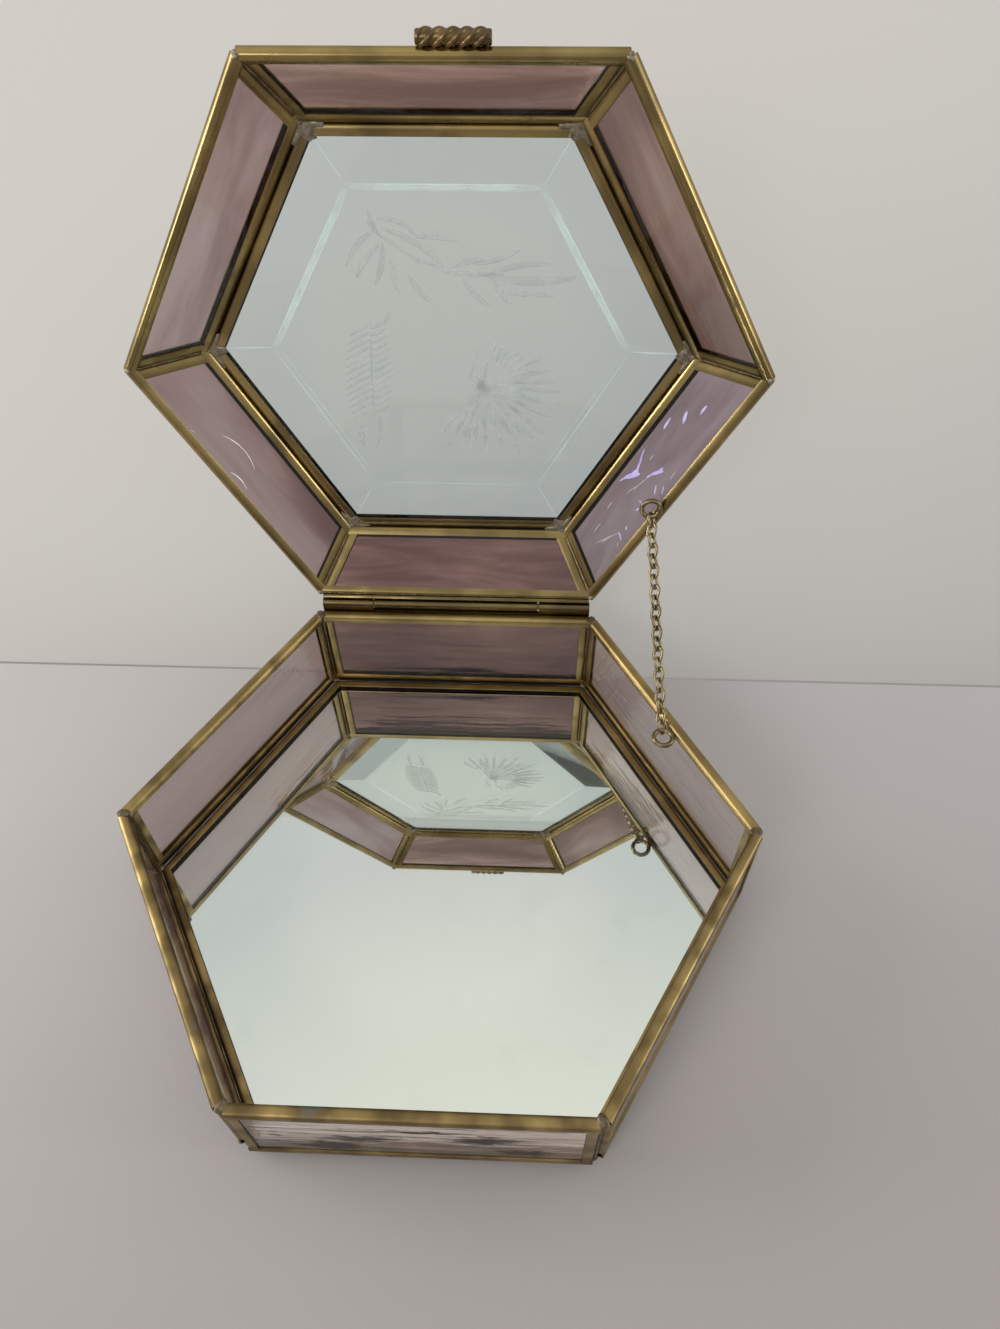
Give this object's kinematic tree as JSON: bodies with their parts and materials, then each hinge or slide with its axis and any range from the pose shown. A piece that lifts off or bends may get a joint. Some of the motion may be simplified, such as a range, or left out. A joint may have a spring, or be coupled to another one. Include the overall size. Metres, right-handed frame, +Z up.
{
  "type": "glass casket box",
  "caption": "Hexagonal brass-framed box of tinted glass with a mirror floor; its domed lid has a clear bevelled pane, opens on a rear hinge and is held by a stay chain.",
  "frame": {"origin": "middle of the flat underside of the floor frame, on the table", "axes": "+Z up, +Y to the hinge at the rear, +X to the right seen from the front; the lid is drawn open against its chain"},
  "size_m": [0.1556, 0.1683, 0.1705],
  "materials": {
    "base_brass": "aged drawn brass with grey-blue tarnish",
    "lid_brass": "aged drawn brass, warm highlights",
    "hinge_brass": "rubbed brass tube",
    "hinge_pin": "dull brass rod",
    "chain_brass": "antiqued brass wire",
    "thumb_lift_brass": "darkened twisted brass",
    "rose_glass_wall": "streaky mauve cathedral glass",
    "rose_glass_lid": "streaky mauve cathedral glass, faint iridescence",
    "clear_glass": "clear polished plate, bevelled and wheel-cut",
    "silvered_glass": "silvered glass",
    "solder": "dull grey solder"
  },
  "bodies": {
    "base": {"wall_glass_rear": "rose_glass_wall", "wall_glass_rear_left": "rose_glass_wall", "wall_glass_front_left": "rose_glass_wall", "wall_glass_front": "rose_glass_wall", "wall_glass_front_right": "rose_glass_wall", "wall_glass_rear_right": "rose_glass_wall", "wall_came_rear": "base_brass", "wall_came_rear_left": "base_brass", "wall_came_front_left": "base_brass", "wall_came_front": "base_brass", "wall_came_front_right": "base_brass", "wall_came_rear_right": "base_brass", "mirror_floor": "silvered_glass", "floor_came": "base_brass", "base_solder": "solder", "hinge_end_barrels": "hinge_brass", "hinge_pin": "hinge_pin", "base_chain_ring": "chain_brass", "stay_chain": "chain_brass"},
    "lid": {"lid_glass_rear": "rose_glass_lid", "lid_glass_rear_left": "rose_glass_lid", "lid_glass_front_left": "rose_glass_lid", "lid_glass_front": "rose_glass_lid", "lid_glass_front_right": "rose_glass_lid", "lid_glass_rear_right": "rose_glass_lid", "lid_came_rear": "lid_brass", "lid_came_rear_left": "lid_brass", "lid_came_front_left": "lid_brass", "lid_came_front": "lid_brass", "lid_came_front_right": "lid_brass", "lid_came_rear_right": "lid_brass", "crown_glass": "clear_glass", "crown_came": "lid_brass", "lid_solder": "solder", "hinge_middle_barrel": "hinge_brass", "lid_chain_ring": "chain_brass", "thumb_lift": "thumb_lift_brass"}
  },
  "joints": [
    {"name": "lid_hinge", "type": "hinge", "parent": "base", "child": "lid", "pos_m": [0, 0.06927, 0.0326], "axis": [1, 0, 0], "range_deg": [0, 98.3], "deforming": ["stay_chain"]}
  ]
}
